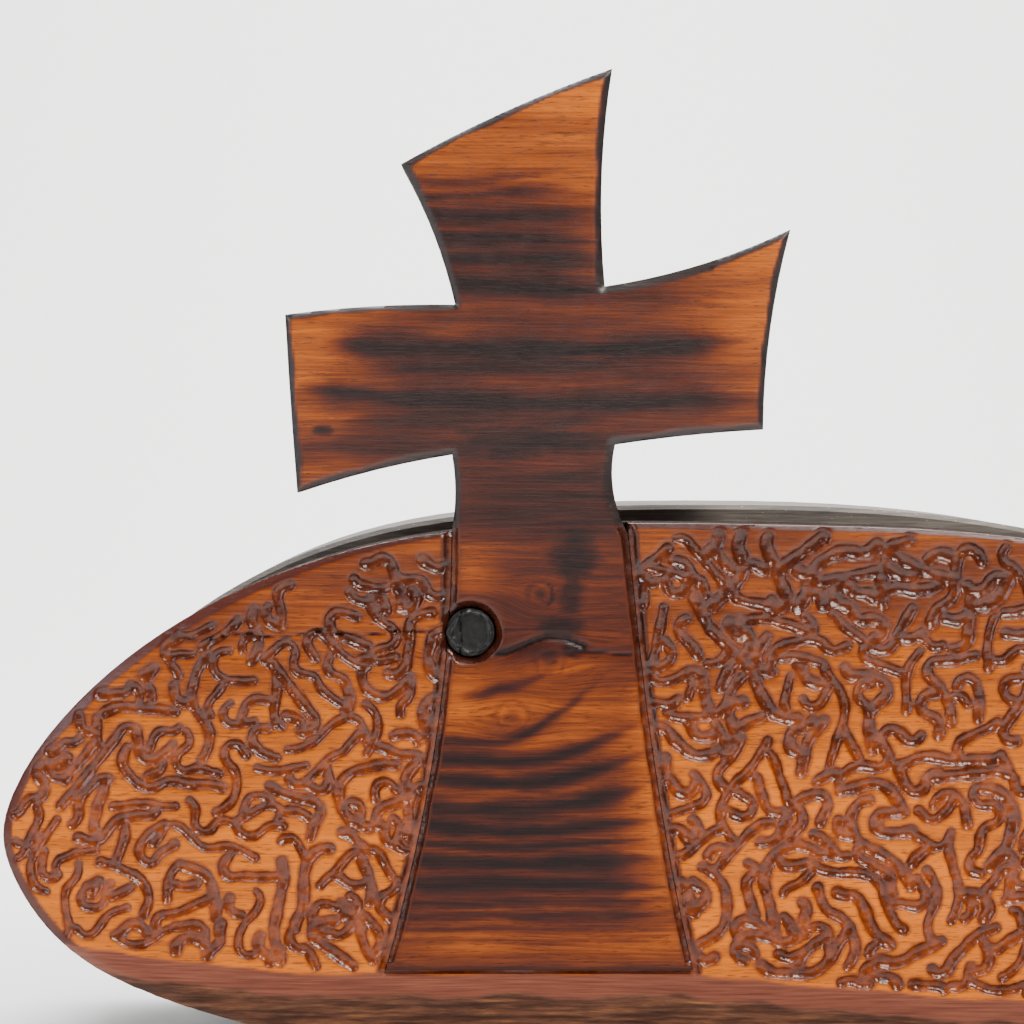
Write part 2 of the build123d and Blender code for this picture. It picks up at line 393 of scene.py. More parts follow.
# %% Borders of the carved fields
wane_line = [(-166, 33), (-152, 26.2), (-132, 22.9), (-99, 19.6), (-12, 19.4), (11, 16.7),
             (60, 13.2), (105, 14.5), (135, 20), (152, 27), (166, 36)]


def wane_z(x):
    return np.interp(x, [p[0] for p in wane_line], [p[1] for p in wane_line])


slab_tree = tree_of(slab_outline)
key_tree = tree_of(key_outline)
stem_sides = key_outline[key_outline[:, 1] < slab_top_z]
mid_x = stem_sides[:, 0].mean()
hump_z = 55


def in_carved_field(x, z):
    if z < wane_z(x) + 1.2 or z > slab_top_z:
        return False
    place, number, off_edge = slab_tree.find((x, z, 0))
    inward = math.hypot(x * 0.3, z - hump_z) <= math.hypot(place.x * 0.3, place.y - hump_z)
    place, number, off_seam = key_tree.find((x, z, 0))
    beside = abs(x - mid_x) > abs(place.x - mid_x)
    return inward and off_edge > 2.3 and beside and off_seam > 1.6


tracks = strokes(in_carved_field)
track_points = np.vstack(tracks)
print(len(tracks), "strokes,", round(len(track_points) * walk_step / 1000, 2), "m of carving")


# %% [markdown]
# ## Cutting the tracks into the face
# Each point of the face looks at the strokes near it and takes the deepest cut. A ball
# burr leaves a round bottom, so a cut is deepest in its middle. A level is kept on the
# mesh with it: 1 on a stroke's middle line, 0 at its rim and below 0 on the flat beside
# it, where the torch browns the lip. The finish reads it later.

# %% Cut depth over the face
far_level = -1.5


def cut_depth(points):
    """The depth in mm and the level. A cut runs out softly a little past its rim."""
    past_rim = 1.12
    tree = tree_of(track_points[:, :2])
    depth = np.zeros(len(points))
    level = np.full(len(points), far_level)
    for number, (x, z) in enumerate(points):
        for place, near, distance in tree.find_range((x, z, 0), 3.2):
            across = distance / track_points[near, 2]
            level[number] = max(level[number], 1 - across)
            if across < past_rim:
                cut = track_points[near, 3] * (1 - (across / past_rim) ** 2) ** 1.15
                depth[number] = max(depth[number], cut)
    return depth, level


def store(piece, name, front, values, elsewhere):
    """A number per point: values on the front, and another value or row of values elsewhere."""
    every = np.full(len(piece.data.vertices), elsewhere, dtype=np.float32)
    every[front] = values
    layer = piece.data.attributes.new(name, "FLOAT", "POINT")
    layer.data.foreach_set("value", every)


def push_back(piece, front, depth):
    """Moves the front points back by depth in mm."""
    points = coordinates(piece.data)
    points[front, 1] += depth * MM
    piece.data.vertices.foreach_set("co", points.ravel())
    piece.data.update()


# %% [markdown]
# The seams beside the stem are carved as one channel with the stem's own edge. Below the
# wane's line lies a smooth planed strip and then rough bark, which falls back. The
# outline is worn round, most of all at the left end.

# %% Carve the slab
points = coordinates(slab.data)
front = np.flatnonzero(np.abs(points[:, 1] - y_front) < 1e-6)
face = points[front][:, [0, 2]] / MM
cut, level = cut_depth(face)
off_edge = distance_to(face, slab_outline)
off_seam = distance_to(face, key_outline)
seam_half = 1.9 + 0.4 * field(face, 9, 9, 3.1)
beside_stem = face[:, 1] > foot_z - 0.8
seam = np.clip(1 - (off_seam / seam_half) ** 2, 0, 1) * beside_stem
level = np.where(beside_stem, np.maximum(level, 1 - off_seam / seam_half), level)
below = wane_z(face[:, 0]) + 0.7 * field(face, 14, 400, 5.2) - face[:, 1]
strip = 5.2 + 0.9 * field(face, 9, 300, 6.4)
bark = np.clip(below - strip, 0, None)
rough_bark = field(face, 11, 1.6, 8.3, 4)
fall = 0.3 * np.clip(below, 0, strip) + 0.62 * bark + smooth_step(0, 4, bark) * 0.7 * (rough_bark + 0.6)
left_end = smooth_step(-75, -125, face[:, 0])
bevel_wide = 1.3 + 1.3 * left_end + 0.5 * field(face, 18, 18, 4.4)
eased = (0.7 + 0.8 * left_end) * np.clip(1 - off_edge / bevel_wide, 0, 1) ** 1.2
chatter = 0.16 * field(face, 1.7, 1.7, 9.9, 3) * np.clip(np.maximum(cut, seam) / 0.8, 0, 1)
skin_back = 0.05
push_back(slab, front, np.clip(np.maximum(cut, 1.3 * seam) + fall + eased + chatter + skin_back, 0, None))
store(slab, "carved", front, level, far_level)
store(slab, "edge", front, smooth_step(0.05, 0.45, eased), 0.0)
store(slab, "bark", front, smooth_step(0, 0.9, below - strip), 0.0)
store(slab, "smooth_strip", front, smooth_step(-0.2, 0.5, below), 0.0)
print("cut share of the face", round(float((cut > 0.15).mean()), 2))


# %% [markdown]
# ## How the grain runs
# Straight grain parts around a knot and closes behind it. The height of the grain line
# through each point is kept on the mesh, and the finish draws the grain along it.

# %% Grain lines that part around the knots
# each knot: x, z, and how far it pushes the grain, across and up
knots = [(knot_x, knot_z, 11.0, 9.0), (-46.2, 103.2, 7.0, 5.0), (-44.0, 88.9, 8.0, 5.5),
         (-52.4, 76.3, 9.0, 5.0)]


def grain_height(points):
    x, z = points[:, 0], points[:, 1]
    height = z + 0.8 * field(points, 60, 14, 2.2)
    for at_x, at_z, wide, tall in knots:
        near = np.exp(-((x - at_x) / wide) ** 2 - ((z - at_z) / tall) ** 2)
        height = height - 0.85 * (z - at_z) * near
    return height


def store_grain(piece, front, face):
    everywhere = coordinates(piece.data)[:, 2] / MM
    store(piece, "grain_line", front, grain_height(face), everywhere)


store_grain(slab, front, face)
print("grain parts around", len(knots), "knots")

# %% [markdown]
# ## Torch marks on the slab
# The slab is torched lightly: bright amber low in the middle, redder towards the top
# and the ends, dark along the outline and beside the seams, and black around the knot. A
# thin crack runs out of the knot along the grain.

# %% Scorch the slab
def line_distance(points, line):
    """Distance to an open line of (x, z) points."""
    return distance_to(points, sampled(np.array(line, dtype=float), 0.25))


def knot_ring(points, distance):
    """The char around the knot: full beside it, gone after one or two ragged mm."""
    return np.clip(1.9 - (distance - knot_r) / (1.0 + 0.6 * field(points, 2, 2, 5.5)), 0, 1)


x, z = face[:, 0], face[:, 1]
knot_distance = np.hypot(x - knot_x, z - knot_z)
warm = 0.08 + 0.42 * smooth_step(46, 116, z) + 0.08 * smooth_step(60, 165, np.abs(x))
warm = warm + 0.12 * field(face, 35, 9, 1.3)
top_edge = 0.42 * smooth_step(0, 0.5, eased) + 0.35 * np.clip(1 - off_edge / 1.1, 0, 1)
ring = knot_ring(face, knot_distance)
crack = [(-129, 94.2), (-121, 93.0), (-112, 94.6), (-104, 93.6), (-95, 95.0), (-86, 94.0),
         (-77, 95.2), (-68, 94.6)]
crack_near = np.clip(1 - line_distance(face, crack) / (0.55 + 0.2 * field(face, 6, 6, 3.3)), 0, 1)
seam_edge = 0.5 * np.clip(1 - np.abs(off_seam - 1.6) / 0.8, 0, 1)
scorch = np.maximum.reduce([warm + top_edge, ring, 0.95 * crack_near, warm + seam_edge])
store(slab, "scorch", front, np.clip(scorch, 0, 1), 0.62)
knot_dip = np.clip(1 - (knot_distance - knot_r) / 1.6, 0, 1)
push_back(slab, front, 0.7 * crack_near ** 2 + 1.4 * knot_dip ** 1.5)
print("slab scorch from", round(float(scorch.min()), 2), "to", round(float(scorch.max()), 2))


# %% [markdown]
# ## The cross and its stem
# The cross is one board. Its face is left flat and brushed, and it carries the heaviest
# torch marks: the flame was swept across the grain in bands a few millimetres apart.
# On the lower stem the bands sag and climb to the right; they fade before the right
# edge, where the amber shows. The outline is burnt to a dark, uneven bevel.

# %% Bands that the torch left
# each band: height, half thickness, strength, from x, to x, climb at the left, climb at the right
stem_bands = [
    (70.6, 1.5, 0.82, -70, -36, 0.8, 11.0),
    (66.3, 1.9, 0.95, -70, -27, 1.0, 7.2),
    (61.6, 2.1, 0.97, -71, -24, 0.8, 6.2),
    (55.2, 2.5, 0.93, -72, -23, 0.6, 5.8),
    (50.6, 1.6, 0.95, -74, -22, 1.8, 3.4),
    (47.3, 1.1, 0.81, -74, -22, 1.0, 2.2),
    (43.6, 2.2, 0.93, -75, -21, 0.6, 1.0),
    (38.9, 2.3, 0.93, -77, -20, 0.2, 0.2),
    (34.8, 1.3, 0.73, -78, -19, 0.5, 0.8),
    (32.0, 0.9, 0.63, -78, -18, 0.3, 0.8),
    (29.2, 0.7, 0.51, -79, -18, 0.2, 0.4),
    (26.6, 0.6, 0.39, -79, -17, 0.2, 0.2),
]
upper_bands = [
    (194.5, 1.0, 0.46, -74, -44, 0.0, 1.5),
    (191.0, 1.4, 0.70, -76, -40, 0.0, 1.0),
    (186.4, 1.9, 0.84, -76, -34, 0.5, 0.5),
    (181.6, 2.1, 0.88, -74, -34, 0.5, 0.0),
    (176.9, 2.3, 0.92, -72, -32, 0.0, 0.0),
    (171.4, 3.0, 0.95, -70, -33, 0.0, 0.0),
    (157.0, 3.0, 0.92, -88, -4, 1.2, 1.6),
    (153.4, 1.2, 0.60, -78, -26, 0.0, 1.0),
    (145.8, 3.0, 0.92, -93, -3, 2.2, 0.4),
    (141.5, 1.8, 0.60, -84, -28, 0.0, 0.6),
    (136.0, 3.2, 0.42, -100, -66, 0.0, 0.0),
    (91.0, 2.0, 0.45, -58, -34, 0.0, 2.0),
    (83.0, 1.9, 0.80, -58, -45, -1.5, 3.0),
]


def band_marks(points, bands):
    """Each band is a dark core that tapers at its ragged ends, in a weak red-brown halo."""
    x, z = points[:, 0], points[:, 1]
    line = z - 0.6 * field(points, 16, 5, 6.1) - 0.22 * field(points, 3, 2, 4.9)
    cores = np.zeros(len(points))
    halos = np.zeros(len(points))
    for height, half, strength, start, end, climb_left, climb_right in bands:
        middle = (start + end) / 2 - 0.1 * (end - start)
        right = np.clip((x - middle) / (end - middle), 0, 1.3) ** 1.7
        left = np.clip((middle - x) / (middle - start), 0, 1.3) ** 1.6
        centre = height + climb_right * right + climb_left * left
        ragged = 3.0 * field(points, 9, 1.5, height)
        across = smooth_step(start - 7, start + 4 + ragged, x)
        across = across * (1 - smooth_step(end - 13 + ragged, end + 5, x))
        thick = half * (0.4 + 0.6 * across) * (1 + 0.5 * field(points, 14, 60, height + 0.7))
        cores = np.maximum(cores, strength * across ** 0.7 * bump_at(line, centre, 0.95 * thick))
        halos = halos + 0.16 * strength * across * bump_at(line, centre, 2.4 * half)
    return np.clip(np.maximum(cores, 0.7 * cores + halos), 0, 1)


def blotch(points, x, z, wide, tall, strength):
    """One ragged spot that the flame burnt in."""
    wobble = 1 + 0.4 * field(points, 5, 4, x) + 0.3 * field(points, 2.5, 0.8, z)
    away = np.hypot((points[:, 0] - x) / wide, (points[:, 1] - z) / tall) / wobble
    return strength * (1 - smooth_step(0.3, 1.35, away))


# %% [markdown]
# The bands lie on a ground tone that changes with the height and is lighter at the ends
# of the arms. Three pin knots sit on the stem. Each has a darker heart inside a thin
# dark ring, and the first one a black crescent at its right. A higher number is always
# a deeper burn.

# %% Ground tone, bands and pin knots of the cross
points = coordinates(cross.data)
cross_front = np.flatnonzero(np.abs(points[:, 1] - y_front) < 1e-6)
face = points[cross_front][:, [0, 2]] / MM
x, z = face[:, 0], face[:, 1]
off_edge = distance_to(face, key_outline)
on_stem = 1 - smooth_step(slab_top_z - 1.5, slab_top_z + 1, z)

# each pair: height, tone
ground = [(20, 0.44), (33, 0.44), (60, 0.40), (74, 0.42), (84, 0.52), (92, 0.68), (104, 0.68),
          (114, 0.72), (122, 0.81), (136, 0.78), (142, 0.68), (152, 0.61), (163, 0.62),
          (170, 0.70), (178, 0.56), (190, 0.44), (205, 0.31), (219, 0.24)]
base = np.interp(z, *zip(*ground))
base = base + 0.10 * field(face, 30, 8, 7.3)
base = base - 0.28 * smooth_step(-26, 2, x) * smooth_step(132, 164, z)
base = base - 0.26 * smooth_step(66, 96, -x) * (z > 120)
base = base - 0.22 * smooth_step(-30, -18, x) * (z < 84) * smooth_step(24, 60, z)
base = base - 0.20 * bump_at(x, -61, 6) * bump_at(z, 108, 8)
base = base - 0.14 * bump_at(x, -64, 6) * bump_at(z, 80, 9)
marks = band_marks(face, stem_bands + upper_bands)
# each spot: x, z, half width, half height, strength
spots = [(-38.6, 112.0, 5.0, 6.0, 0.86), (-39.5, 103.5, 3.0, 5.0, 0.74), (-50, 137.5, 17, 4.5, 0.80),
         (-94.0, 139.5, 2.4, 1.3, 0.7), (-42.0, 96.0, 5.5, 2.2, 0.78), (-38.5, 91.5, 3.0, 2.0, 0.9)]
for spot in spots:
    marks = np.maximum(marks, blotch(face, *spot))
for (at_x, at_z, wide, tall), heart in zip(knots[1:], (1.5, 2.2, 2.2)):
    away = np.hypot(x - at_x, z - at_z)
    away = away * (1 + 0.2 * field(face, 2.5, 2.5, heart))
    base = base + 0.12 * (1 - smooth_step(heart * 0.3, heart, away))
    base = base - 0.03 * bump_at(away, heart + 0.5, 0.5) + 0.09 * bump_at(away, heart + 1.2, 0.5)
crescent = bump_at(np.hypot(x + 46.4, z - 103.2), 3.0, 0.7) * smooth_step(-46.0, -44.2, x)
print(len(stem_bands + upper_bands), "bands,", len(spots), "spots and", len(knots) - 1, "pin knots")

# %% [markdown]
# A crack runs across the stem from the large knot, follows the grain around the second
# pin knot, and steps down to the right seam. The outline is burnt to a bevel, except
# where it lies in the slab and forms the seam's inner wall.

# %% Cracks, burnt bevel and seam of the cross
stem_crack = [(-56.4, 90.2), (-53.5, 90.4), (-51.0, 91.4), (-47.8, 92.9), (-44.9, 93.8),
              (-40.5, 93.5), (-36.1, 91.7)]
step_crack = [(-39.0, 90.6), (-33.0, 90.4), (-26.0, 89.8)]
crack_near = np.clip(1.7 - line_distance(face, stem_crack) / 0.62, 0, 1)
fine_crack = np.clip(1.4 - line_distance(face, step_crack) / 0.45, 0, 1)
knot_distance = np.hypot(x - knot_x, z - knot_z)
ring = knot_ring(face, knot_distance)
char_wide = 1.5 + 0.6 * field(face, 10, 10, 2.9)
neck_char = 0.9 * bump_at(z, 126, 6) * (x > -45)
inner_corner_char = 0.8 * bump_at(z, 174, 4) * (x > -34) * (x < -8)
char_wide = char_wide + neck_char + inner_corner_char
bevel = np.clip(1 - off_edge / np.clip(char_wide, 0.5, 3), 0, 1) * np.maximum(1 - on_stem, 0)
seam_half = 1.55 + 0.35 * field(face, 9, 9, 3.1)
seam = np.clip(1 - (off_edge / seam_half) ** 2, 0, 1) * on_stem * (z > foot_z + 1.6)
chatter = 0.22 * field(face, 1.7, 1.7, 9.9, 3) * seam
foot = on_stem * np.clip(1 - (z - foot_z) / 2.2, 0, 1)

# %% Keep the cross's marks on its mesh, and shape it
scorch = np.maximum.reduce([base + (1 - base) * marks + 0.4 * foot, 0.97 * crescent,
                            0.98 * crack_near, 0.92 * fine_crack, ring])
scorch = scorch + (0.97 - scorch) * smooth_step(0.0, 0.45, bevel)
store(cross, "scorch", cross_front, np.clip(scorch, 0, 1), 0.93)
on_seam = (z < slab_top_z - 0.5) & (z > foot_z + 1.2)
level = np.where(on_seam, np.maximum(1 - off_edge / seam_half, far_level), far_level)
store(cross, "carved", cross_front, level, far_level)
for name in ("edge", "bark", "smooth_strip"):
    store(cross, name, cross_front, 0.0, 0.0)
store_grain(cross, cross_front, face)
knot_dip = np.clip(1 - (knot_distance - knot_r) / 1.4, 0, 1)
cracks = 0.8 * crack_near ** 1.5 + 0.35 * fine_crack
edges = 0.9 * bevel ** 1.3 + 1.3 * seam + 0.25 * foot
push_back(cross, cross_front, edges + cracks + 1.3 * knot_dip ** 1.5 + chatter + skin_back)
print("cross face points", len(cross_front))

# %% [markdown]
# ## The black knot
# A dead knot has shrunk away from the wood around it. Its face is charcoal, split and
# lower than the board, with a raised, shiny, broken rim.

# %% Shape the knot
knot = dense_front("knot_peg", "black_knot", 0.6 if rough else 0.3, knot_low[1], 1)
points = coordinates(knot.data)
knot_front = np.flatnonzero(np.abs(points[:, 1] - knot_low[1]) < 1e-6)
face = points[knot_front][:, [0, 2]] / MM
away = np.hypot(face[:, 0] - knot_x, face[:, 1] - knot_z)
rim = bump_at(away, knot_r - 0.9 + 0.5 * field(face, 3, 3, 1.1), 0.6)
split = bump_at(face[:, 0] - 0.3 * field(face, 2, 2, 2.4), knot_x - 2.2, 0.25)
crumbs = 0.35 * (field(face, 1.6, 1.6, 6.6, 4) + 0.5)
push_back(knot, knot_front, 0.8 - 0.75 * rim + 0.5 * split + crumbs)
store(knot, "lip", knot_front, rim, 0.0)

# %% Shade the replaced pieces smooth, but keep their outlines crisp
for piece, body, node, finish in ((slab, "front", "front_slab", "torched_pine"),
                                  (cross, "key", "cross_key", "torched_pine"),
                                  (knot, "knot", "knot_peg", "charred_knot")):
    piece.data.materials.clear()
    make_active(piece)
    bpy.ops.object.shade_smooth_by_angle(angle=math.radians(62))
    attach(piece, body)
    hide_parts(node)

# %% [markdown]
# # Finishes
# Colours are written as the hex values of a paint chart and turned to linear light by
# one function. One more function adds a node, sets its values and links its inputs.

# %% Colour and node helpers
def colour(hex_value):
    channels = [int(hex_value[i:i + 2], 16) / 255 for i in (1, 3, 5)]
    linear = [c / 12.92 if c <= 0.04045 else ((c + 0.055) / 1.055) ** 2.4 for c in channels]
    return (*linear, 1.0)


def add(tree, kind, links=None, stops=(), **settings):
    """A node. links maps an input to a socket or a value, and stops are a ramp's colours."""
    node = tree.nodes.new(kind)
    for name, value in settings.items():
        setattr(node, name, value)
    for count, (place, hue) in enumerate(stops):
        marks = node.color_ramp.elements
        mark = marks[count] if count < len(marks) else marks.new(place)
        mark.position = place
        mark.color = colour(hue)
    for name, source in (links or {}).items():
        if isinstance(source, bpy.types.NodeSocket):
            tree.links.new(source, node.inputs[name])
        else:
            node.inputs[name].default_value = source
    return node


# %% A new material, and patterns in millimetres
def material(name):
    made = bpy.data.materials.new(name)
    made.use_nodes = True
    tree = made.node_tree
    tree.nodes.clear()
    shader = add(tree, "ShaderNodeBsdfPrincipled")
    add(tree, "ShaderNodeOutputMaterial", {"Surface": shader.outputs["BSDF"]})
    return made, tree, shader


def place_in_mm(tree):
    """The place on the object in mm. Every pattern's size is then a size in mm."""
    spot = add(tree, "ShaderNodeTexCoord").outputs["Object"]
    scaled = {0: spot, 1: (1000, 1000, 1000)}
    return add(tree, "ShaderNodeVectorMath", scaled, operation="MULTIPLY").outputs[0]


def streaks(tree, place, long, deep, fine, detail=4.0, rough=0.55):
    """Noise drawn out along X: long, deep and fine are its sizes in mm along X, Y and Z."""
    scaled = add(tree, "ShaderNodeMapping", {"Vector": place, "Scale": (1 / long, 1 / deep, 1 / fine)})
    settings = {"Vector": scaled.outputs[0], "Scale": 1.0, "Detail": detail, "Roughness": rough}
    return add(tree, "ShaderNodeTexNoise", settings).outputs["Fac"]


# %% [markdown]
# ## Torched and lacquered pine
# A flame darkens softwood from amber through red-brown to black, and the soft early
# wood first. The brushed grain then stands up as fine ridges about half a millimetre
# apart, and short dark dashes are its pores. The finish is put together in four steps:
# the patterns that its colour, gloss and relief share, then each of those three.

# %% Patterns of the pine
def pine_patterns(tree, front_at, back_at):
    """Named sockets: the marks kept on the mesh, the grain, and where the sides and back are."""
    names = ("grain_line", "scorch", "carved", "edge", "smooth_strip", "bark")
    wood = {name: add(tree, "ShaderNodeAttribute", attribute_name=name).outputs["Fac"] for name in names}
    spot = place_in_mm(tree)
    x, y, z = add(tree, "ShaderNodeSeparateXYZ", {0: spot}).outputs
    along = add(tree, "ShaderNodeCombineXYZ", {"X": x, "Y": y, "Z": wood["grain_line"]}).outputs[0]
    wood["spot"], wood["z"] = spot, z
    wood["broad"] = streaks(tree, along, 70, 9, 3.6, 3)
    wood["fine"] = streaks(tree, along, 16, 2, 0.50, 5, 0.6)
    pores = streaks(tree, along, 3.2, 0.8, 0.26, 2)
    wood["dashes"] = add(tree, "ShaderNodeMapRange", {0: pores, 1: 0.56, 2: 0.68, 3: 0.0, 4: 1.0}).outputs[0]
    wood["mottled"] = streaks(tree, spot, 3.5, 3.5, 3.5, 3)
    wood["bark_lines"] = streaks(tree, spot, 14, 6, 1.3, 6, 0.65)
    on_side = {0: y, 1: front_at + 3.2, 2: front_at + 4.4, 3: 0.0, 4: 1.0}
    side = add(tree, "ShaderNodeMapRange", on_side).outputs[0]
    not_bark = add(tree, "ShaderNodeMath", {0: 1.0, 1: wood["bark"]}, operation="SUBTRACT").outputs[0]
    wood["side"] = add(tree, "ShaderNodeMath", {0: side, 1: not_bark}, operation="MULTIPLY").outputs[0]
    on_back = {0: y, 1: back_at - 0.3, 2: back_at - 0.1, 3: 0.0, 4: 1.0}
    wood["back"] = add(tree, "ShaderNodeMapRange", on_back).outputs[0]
    cut = {0: wood["carved"], 1: -0.06, 2: 0.1, 3: 0.0, 4: 0.95}
    wood["cut"] = add(tree, "ShaderNodeMapRange", cut).outputs[0]
    return wood


# %% [markdown]
# The colour is laid on in coats, as on the real board: the torched flat, its browned
# lips, the dark red bottoms of the cuts, the burnt edge, the planed strip under the
# carving, the bark, the sawn sides and the bare back. Lacquer pools in the carving, so
# the cuts are darker and redder than the flats. The bark has no lacquer.

# %% Colour of the pine
def pine_colour(tree, wood):
    burnt = wood["scorch"]
    for grain, share in ((wood["broad"], 0.5), (wood["fine"], 0.52)):
        added = {0: grain, 1: share, 2: burnt}
        burnt = add(tree, "ShaderNodeMath", added, operation="MULTIPLY_ADD").outputs[0]
    burnt = add(tree, "ShaderNodeMath", {0: burnt, 1: 0.5}, operation="SUBTRACT").outputs[0]
    skin = add(tree, "ShaderNodeValToRGB", {0: burnt}, stops=[
        (0.0, "#c4650b"), (0.18, "#ab5709"), (0.36, "#86400a"), (0.52, "#612a09"),
        (0.68, "#42190d"), (0.84, "#27100d"), (1.0, "#120a0a")]).outputs[0]
    bottom = add(tree, "ShaderNodeValToRGB", {0: wood["mottled"]}, stops=[
        (0.30, "#3a150a"), (0.50, "#5c250b"), (0.68, "#7e380f")]).outputs[0]
    burnt_cut = {0: wood["scorch"], 1: 0.12, 2: 0.7, 3: 0.0, 4: 0.85}
    burnt_cut = add(tree, "ShaderNodeMapRange", burnt_cut).outputs[0]
    bottom = add(tree, "ShaderNodeMix", {0: burnt_cut, 6: bottom, 7: colour("#1c0b09")},
                 data_type="RGBA").outputs[2]
    strip = add(tree, "ShaderNodeValToRGB", {0: wood["fine"]}, stops=[
        (0.3, "#55281c"), (0.7, "#7f4834")]).outputs[0]
    bark = add(tree, "ShaderNodeValToRGB", {0: wood["bark_lines"]}, stops=[
        (0.28, "#22160f"), (0.46, "#482c20"), (0.60, "#66412e"), (0.74, "#96622f")]).outputs[0]
    sawn = add(tree, "ShaderNodeValToRGB", {0: streaks(tree, wood["spot"], 24, 0.9, 6, 5)}, stops=[
        (0.3, "#0e0806"), (0.55, "#24120a"), (0.75, "#452210")]).outputs[0]
    bare = add(tree, "ShaderNodeValToRGB", {0: wood["fine"]}, stops=[
        (0.3, "#38220f"), (0.55, "#50331b"), (0.75, "#6b4826")]).outputs[0]
    dark_dash = add(tree, "ShaderNodeMath", {0: wood["dashes"], 1: 0.6}, operation="MULTIPLY").outputs[0]
    worn = add(tree, "ShaderNodeMath", {0: wood["edge"], 1: 0.85}, operation="MULTIPLY").outputs[0]
    lip = {0: wood["carved"], 1: -0.4, 2: 0.0, 3: 0.0, 4: 0.55}
    lip = add(tree, "ShaderNodeMapRange", lip).outputs[0]
    coats = [(dark_dash, colour("#2a0d04")), (lip, colour("#4a1c08")), (wood["cut"], bottom),
             (worn, colour("#42190f")), (wood["smooth_strip"], strip), (wood["bark"], bark),
             (wood["side"], sawn), (wood["back"], bare)]
    for cover, tone in coats:
        skin = add(tree, "ShaderNodeMix", {0: cover, 6: skin, 7: tone}, data_type="RGBA").outputs[2]
    return skin


# %% [markdown]
# Lacquer is glossy where it pools in the cuts and on the worn edge, and satin on the
# flats, where the brushed grain breaks it up. On the flats the specular level rises
# with height, from 90 mm to 140 mm: a painted sheen that stands in for the light
# glancing off the upper cross. Bark and sawn sides are dull.

# %% Gloss of the pine
def pine_gloss(tree, wood):
    """The roughness, and the strength of the reflection: the lacquer's, with a painted sheen that rises with
    height.
    """
    worn = add(tree, "ShaderNodeMath", {0: wood["edge"], 1: 0.4}, operation="MULTIPLY").outputs[0]
    pooled = add(tree, "ShaderNodeMath", {0: wood["cut"], 1: worn}, operation="MAXIMUM").outputs[0]
    gloss = add(tree, "ShaderNodeMapRange", {0: pooled, 1: 0.0, 2: 1.0, 3: 0.36, 4: 0.19}).outputs[0]
    dull_bark = add(tree, "ShaderNodeMath", {0: wood["bark"], 1: 0.8}, operation="MULTIPLY").outputs[0]
    gloss = add(tree, "ShaderNodeMath", {0: gloss, 1: dull_bark}, operation="MAXIMUM").outputs[0]
    uneven = add(tree, "ShaderNodeMath", {0: wood["mottled"], 1: 0.5}, operation="SUBTRACT").outputs[0]
    gloss = add(tree, "ShaderNodeMath", {0: uneven, 1: 0.16, 2: gloss}, operation="MULTIPLY_ADD").outputs[0]
    dull_side = add(tree, "ShaderNodeMath", {0: wood["side"], 1: 0.75}, operation="MULTIPLY").outputs[0]
    gloss = add(tree, "ShaderNodeMath", {0: gloss, 1: dull_side}, operation="MAXIMUM").outputs[0]
    # painted sheen: the flats reflect more from 90 to 140 mm high, in place of the light that glances off the
    # upper cross
    painted_sheen = add(tree, "ShaderNodeMapRange", {0: wood["z"], 1: 90.0, 2: 140.0, 3: 0.16, 4: 0.42}).outputs[0]
    lacquer_and_sheen = add(tree, "ShaderNodeMapRange", {0: pooled, 1: 0.0, 2: 1.0, 3: painted_sheen, 4: 0.34}).outputs[0]
    thin_side = add(tree, "ShaderNodeMath", {0: wood["side"], 1: 0.85}, operation="MULTIPLY").outputs[0]
    covered = add(tree, "ShaderNodeMath", {0: 1.0, 1: thin_side}, operation="SUBTRACT").outputs[0]
    lacquer_and_sheen = add(tree, "ShaderNodeMath", {0: lacquer_and_sheen, 1: covered}, operation="MULTIPLY").outputs[0]
    return gloss, lacquer_and_sheen


# %% [markdown]
# The relief has two parts. A wide one rounds the rims of the cuts, where lacquer bridges
# the sharp corner. A fine one has the ridges and pores, the lines of the bark, and
# ripples that the burr left in the cuts.

# %% Relief of the pine
def pine_relief(tree, wood):
    ripples = streaks(tree, wood["spot"], 1.4, 1.4, 1.4, 3)
    deep_bark = add(tree, "ShaderNodeMath", {0: wood["bark"], 1: 4.0}, operation="MULTIPLY").outputs[0]
    in_cut = add(tree, "ShaderNodeMath", {0: wood["cut"], 1: 2.2}, operation="MULTIPLY").outputs[0]
    height = wood["fine"]
    for pattern, share in ((wood["dashes"], -0.3), (wood["bark_lines"], deep_bark), (ripples, in_cut)):
        added = {0: pattern, 1: share, 2: height}
        height = add(tree, "ShaderNodeMath", added, operation="MULTIPLY_ADD").outputs[0]
    rim = {0: wood["carved"], 1: -0.12, 2: 0.45, 3: 1.0, 4: 0.0}
    rim = add(tree, "ShaderNodeMapRange", rim, interpolation_type="SMOOTHSTEP").outputs[0]
    rounded = add(tree, "ShaderNodeBump", {"Strength": 0.8, "Distance": 0.0002, "Height": rim}).outputs[0]
    ridges = {"Strength": 0.24, "Distance": 0.00022, "Height": height, "Normal": rounded}
    return add(tree, "ShaderNodeBump", ridges).outputs[0]


# %% The finished pine, on the slab and on the cross
def torched_pine(name, front_at, back_at):
    made, tree, shader = material(name)
    wood = pine_patterns(tree, front_at, back_at)
    gloss, lacquer_and_sheen = pine_gloss(tree, wood)
    tree.links.new(pine_colour(tree, wood), shader.inputs["Base Color"])
    tree.links.new(gloss, shader.inputs["Roughness"])
    tree.links.new(lacquer_and_sheen, shader.inputs["Specular IOR Level"])
    tree.links.new(pine_relief(tree, wood), shader.inputs["Normal"])
    return made


slab.data.materials.append(torched_pine("torched_pine_slab", y_front / MM, y_slab_back / MM))
cross.data.materials.append(torched_pine("torched_pine_cross", y_front / MM, y_key_back / MM))
print("pine nodes", len(slab.data.materials[0].node_tree.nodes))


# %% [markdown]
# ## Charcoal
# Burnt wood drinks the light, except on the rim, where lacquer has caught.

